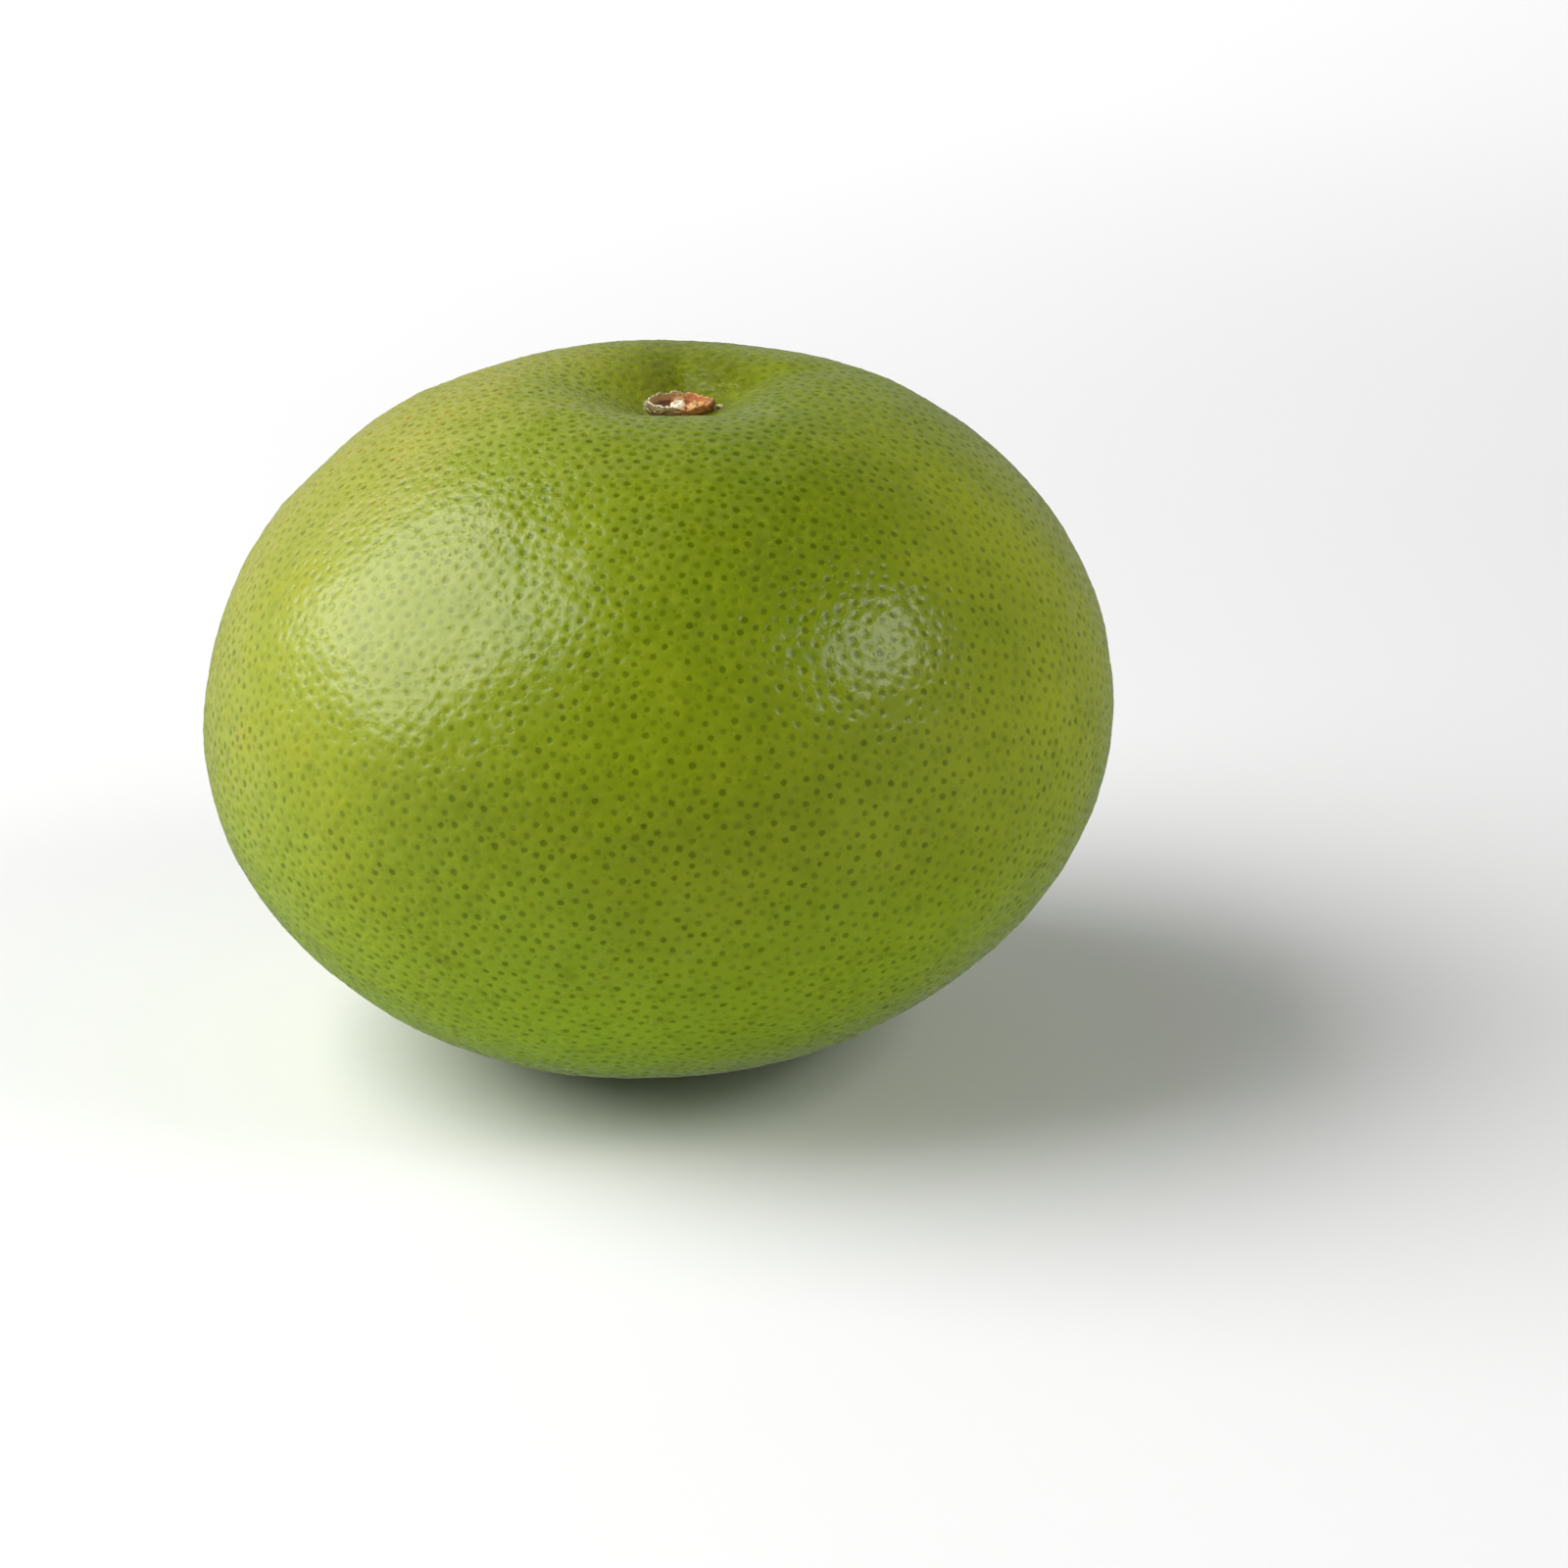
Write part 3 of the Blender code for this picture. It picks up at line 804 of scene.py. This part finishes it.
    crown = n.near(CROWN_PLACE, CROWN_BUMP_REACH, 0.008)
    pebbles = n.math("MULTIPLY", n.noise(0.0013, 3, 0.65), n.ramp(crown, 0, 1, 0.25, 1.5))
    grain = n.math("MULTIPLY_ADD", n.noise(0.00075, 3, 0.6), 0.30)
    n.put(grain.node.inputs[2], pebbles)
    bowls = n.math("MULTIPLY_ADD", n.ramp(reach, 0.35, 1.25), n.ramp(crown, 0, 1, 0.11, 0.40))
    n.put(bowls.node.inputs[2], grain)
    fine = n.bump(bowls, 1.0, 0.0002)
    rough = n.ramp(n.noise(0.004, 4, 0.6), 0.3, 0.7, 0.18, 0.29)
    n.set(Base_Color=color, Roughness=rough, Normal=fine, Specular_IOR_Level=0.17)
    shiny = 0.0
    for place, gloss_reach in GLOSSY_PLACES:
        shiny = n.math("MAXIMUM", n.near(place, gloss_reach), shiny)
    n.set(Coat_Weight=n.ramp(shiny, 0, 0.5, 0.05, 0.35))
    n.set(Coat_Roughness=0.16, Coat_IOR=1.45, Coat_Normal=fine)
    return n.material


def ring_material():
    """Torn dry calyx: grey green on the left, orange brown on the right, with pale pith in its cup."""
    n = Nodes("dry_ring")
    x = n.math("ADD", n.axis("X"), n.ramp(n.noise(0.0012, 3), 0.3, 0.7, -0.0010, 0.0010))
    wall = n.mix(n.ramp(x, -0.0030, 0.0002), OLIVE, WOOD_BROWN)
    wall = n.mix(n.ramp(x, 0.0000, 0.0020), wall, ORANGE_BROWN)
    streaks = n.noise(0.00030, 4, 0.6, (0.35, 0.35, 1))
    patches = n.noise(0.0007, 4, 0.65)
    pale = n.ramp(x, 0.0000, 0.0022, 0.80, 0.15)
    wall = n.mix(n.math("MULTIPLY", pale, n.ramp(streaks, 0.56, 0.66)), wall, DRY_GREY)
    wall = n.mix(n.math("MULTIPLY", pale, n.ramp(patches, 0.60, 0.72)), wall, CREAM)
    wall = n.mix(n.ramp(n.noise(0.0004, 4, 0.65, (0.5, 0.5, 1)), 0.52, 0.72, 0, 0.75), wall, DARK_BROWN)
    # painted shade: the wall turns dark brown at its foot, where it meets the rind
    wall = n.mix(n.ramp(n.axis("Z"), 0.0000, 0.0004, 0.85, 0), wall, DARK_BROWN)

    inner = n.mix(n.ramp(x, -0.0014, 0.0008), TAN, RED_BROWN)
    inner = n.mix(n.ramp(n.noise(0.0005, 4, 0.65), 0.48, 0.70, 0, 0.7), inner, WOOD_BROWN)
    along = n.attribute("along")
    color = n.mix(n.ramp(along, 0.39, 0.43), wall, inner)
    rim = n.math("MULTIPLY", n.ramp(along, 0.35, 0.37), n.ramp(along, 0.385, 0.42, 1, 0))
    edge = n.mix(n.ramp(n.axis("Y"), -0.0020, 0.0008), PITH_WHITE, CREAM)
    edge = n.mix(n.ramp(x, -0.0006, 0.0014), edge, PALE_ORANGE)
    color = n.mix(n.math("MULTIPLY", rim, n.ramp(patches, 0.36, 0.56)), color, edge)
    # painted shade: the cup's inside is dark brown low down, most on its left
    hollow = n.math("MULTIPLY", n.ramp(along, 0.48, 0.56), n.ramp(x, -0.0012, 0.0002, 1, 0.3))
    color = n.mix(hollow, color, DARK_BROWN)

    pith = n.mix(n.ramp(x, 0.0004, 0.0014), PITH_WHITE, AMBER)
    pith = n.mix(n.ramp(n.axis("Y"), 0.0012, 0.0022), pith, TAN)
    pith = n.mix(n.ramp(n.noise(0.0005, 4, 0.65), 0.54, 0.72, 0, 0.75), pith, TAN)
    pith = n.mix(n.ramp(n.noise(0.0009, 3, 0.6), 0.56, 0.66, 0, 0.8), pith, CREAM)
    torn = n.math("ADD", n.attribute("pith"), n.ramp(n.noise(0.0005, 3, 0.6), 0.3, 0.7, -0.22, 0.22))
    color = n.mix(n.ramp(torn, 0.25, 0.50), color, pith)
    n.set(Base_Color=color, Roughness=n.ramp(streaks, 0.3, 0.7, 0.55, 0.8), Specular_IOR_Level=0.35)
    n.set(Normal=n.bump(n.noise(0.00022, 4, 0.65, (0.6, 0.6, 1)), 0.5, 0.0001))
    return n.material


def splinter_material():
    n = Nodes("splinters")
    grain = n.noise(0.0003, 3, 0.6)
    brown = n.mix(n.ramp(grain, 0.35, 0.65), WOOD_BROWN, ORANGE_BROWN)
    cream = n.mix(n.ramp(grain, 0.35, 0.65), DRY_GREY, CREAM)
    color = n.mix(n.ramp(n.attribute("paleness"), 0.3, 0.7), brown, cream)
    n.set(Base_Color=color, Roughness=n.ramp(grain, 0.3, 0.7, 0.5, 0.7))
    return n.material


def gum_material():
    n = Nodes("gum")
    grain = n.noise(0.0003, 3, 0.6)
    # the bead's pale yellow is partly its own amber and partly painted light, for light glowing through
    # it
    color = n.mix(n.ramp(grain, 0.30, 0.50), PALE_ORANGE, GUM_YELLOW)
    n.set(Base_Color=color, Roughness=n.ramp(grain, 0.3, 0.7, 0.2, 0.35), Coat_Weight=0.3)
    return n.material


def floor_material():
    """Pale floor, which glows far from the fruit, where the soft lights face away from it."""
    n = Nodes("floor")
    shade = n.ramp(n.noise(0.3, 2), 0.3, 0.7, *FLOOR_GREYS)
    n.set(Base_Color=n.mix(shade, (0, 0, 0), (1, 1, 1)), Roughness=0.7, Specular_IOR_Level=0.2)
    away = n.add("ShaderNodeVectorMath", {0: n.place}, operation="LENGTH").outputs["Value"]
    n.set(Emission_Color=(1, 1, 1, 1), Emission_Strength=n.ramp(away, *FAR_FLOOR, 0, FAR_GLOW))
    return n.material


def make_floor():
    bpy.ops.mesh.primitive_plane_add(size=FLOOR_SIZE)
    floor = bpy.context.object
    floor.name = "floor"
    floor.data.materials.append(floor_material())
    floor.visible_glossy = False  # the rind mirrors the darker room instead


def direction(azimuth, elevation):
    """A unit direction, from degrees."""
    turn, rise = math.radians(azimuth), math.radians(elevation)
    return Vector((math.cos(turn) * math.cos(rise), math.sin(turn) * math.cos(rise), math.sin(rise)))


def softbox(name, aim, toward, distance, size, energy, mirrored):
    """Adds a soft light in that direction from a place, facing it, and returns the light."""
    data = bpy.data.lights.new(name, "AREA")
    data.shape = "RECTANGLE"
    data.size, data.size_y = size
    data.energy = energy
    light = bpy.data.objects.new(name, data)
    light.location = aim + distance * toward
    light.rotation_euler = toward.to_track_quat("Z", "Y").to_euler()
    light.visible_glossy = mirrored
    bpy.context.scene.collection.objects.link(light)
    return light


def make_lights(middle):
    for name, azimuth, elevation, distance, size, watts, mirrored in SOFTBOXES:
        softbox(name, middle, direction(azimuth, elevation), distance, size, watts, mirrored)
    place, above, size = Vector(BACKDROP_PLACE), Vector((0, 0, 1)), BACKDROP_SIZE
    backdrop = softbox("backdrop_light", place, above, BACKDROP_HEIGHT, size, BACKDROP_WATTS, False)
    backdrop.data.spread = BACKDROP_SPREAD


def room_math(tree, operation, first, second):
    node = tree.nodes.new("ShaderNodeMath")
    node.operation = operation
    node.inputs[1].default_value = second
    tree.links.new(first, node.inputs[0])
    return node


def make_room():
    """A pale room without walls: each side shines with the square of how far a direction faces it."""
    world = bpy.data.worlds.new("room")
    world.use_nodes = True
    tree = world.node_tree
    background = tree.nodes["Background"]
    place = tree.nodes.new("ShaderNodeTexCoord").outputs["Generated"]
    sides = tree.nodes.new("ShaderNodeSeparateXYZ")
    tree.links.new(place, sides.inputs[0])
    total = None
    for axis, sign, strength in ROOM:
        facing = room_math(tree, "MULTIPLY", sides.outputs[axis], sign)
        facing.use_clamp = True
        share = room_math(tree, "POWER", facing.outputs[0], 2)
        added = room_math(tree, "MULTIPLY_ADD", share.outputs[0], strength)
        added.inputs[2].default_value = 0
        if total is not None:
            tree.links.new(total, added.inputs[2])
        total = added.outputs[0]
    tree.links.new(total, background.inputs["Strength"])
    background.inputs["Color"].default_value = (1, 1, 1, 1)
    bpy.context.scene.world = world


def make_camera(middle):
    metres_a_pixel = 2 * GIRTH_RADIUS / GIRTH_PIXELS
    nearness = math.sqrt(1 - (GIRTH_RADIUS / CAMERA_DISTANCE) ** 2)
    view_width = PHOTO_SIDE * metres_a_pixel / nearness
    data = bpy.data.cameras.new("camera")
    data.sensor_width = SENSOR
    data.lens = SENSOR * CAMERA_DISTANCE / view_width
    data.clip_start = 0.01
    camera = bpy.data.objects.new("camera", data)
    backward = Vector((0, -math.cos(ELEVATION), math.sin(ELEVATION)))
    upward = Vector((0, math.sin(ELEVATION), math.cos(ELEVATION)))
    across = (PHOTO_SIDE / 2 - FRUIT_PIXEL[0]) * metres_a_pixel
    down = (PHOTO_SIDE / 2 - FRUIT_PIXEL[1]) * metres_a_pixel
    aim = middle + Vector((across, 0, 0)) - down * upward
    camera.location = aim + CAMERA_DISTANCE * backward
    camera.rotation_euler = backward.to_track_quat("Z", "Y").to_euler()
    bpy.context.scene.collection.objects.link(camera)
    bpy.context.scene.camera = camera


rind, fruit_middle, rind_tree = make_rind()
rind.data.materials.append(rind_material())
stem_seat = rind_point(rind_tree, fruit_middle.x + STEM_X, fruit_middle.y) + Vector(RING_SHIFT)
make_ring(stem_seat)
make_splinters(stem_seat)
make_gum(stem_seat, rind_tree)
make_floor()
make_lights(fruit_middle)
make_room()
make_camera(fruit_middle)
bpy.context.scene.view_settings.view_transform = "Standard"
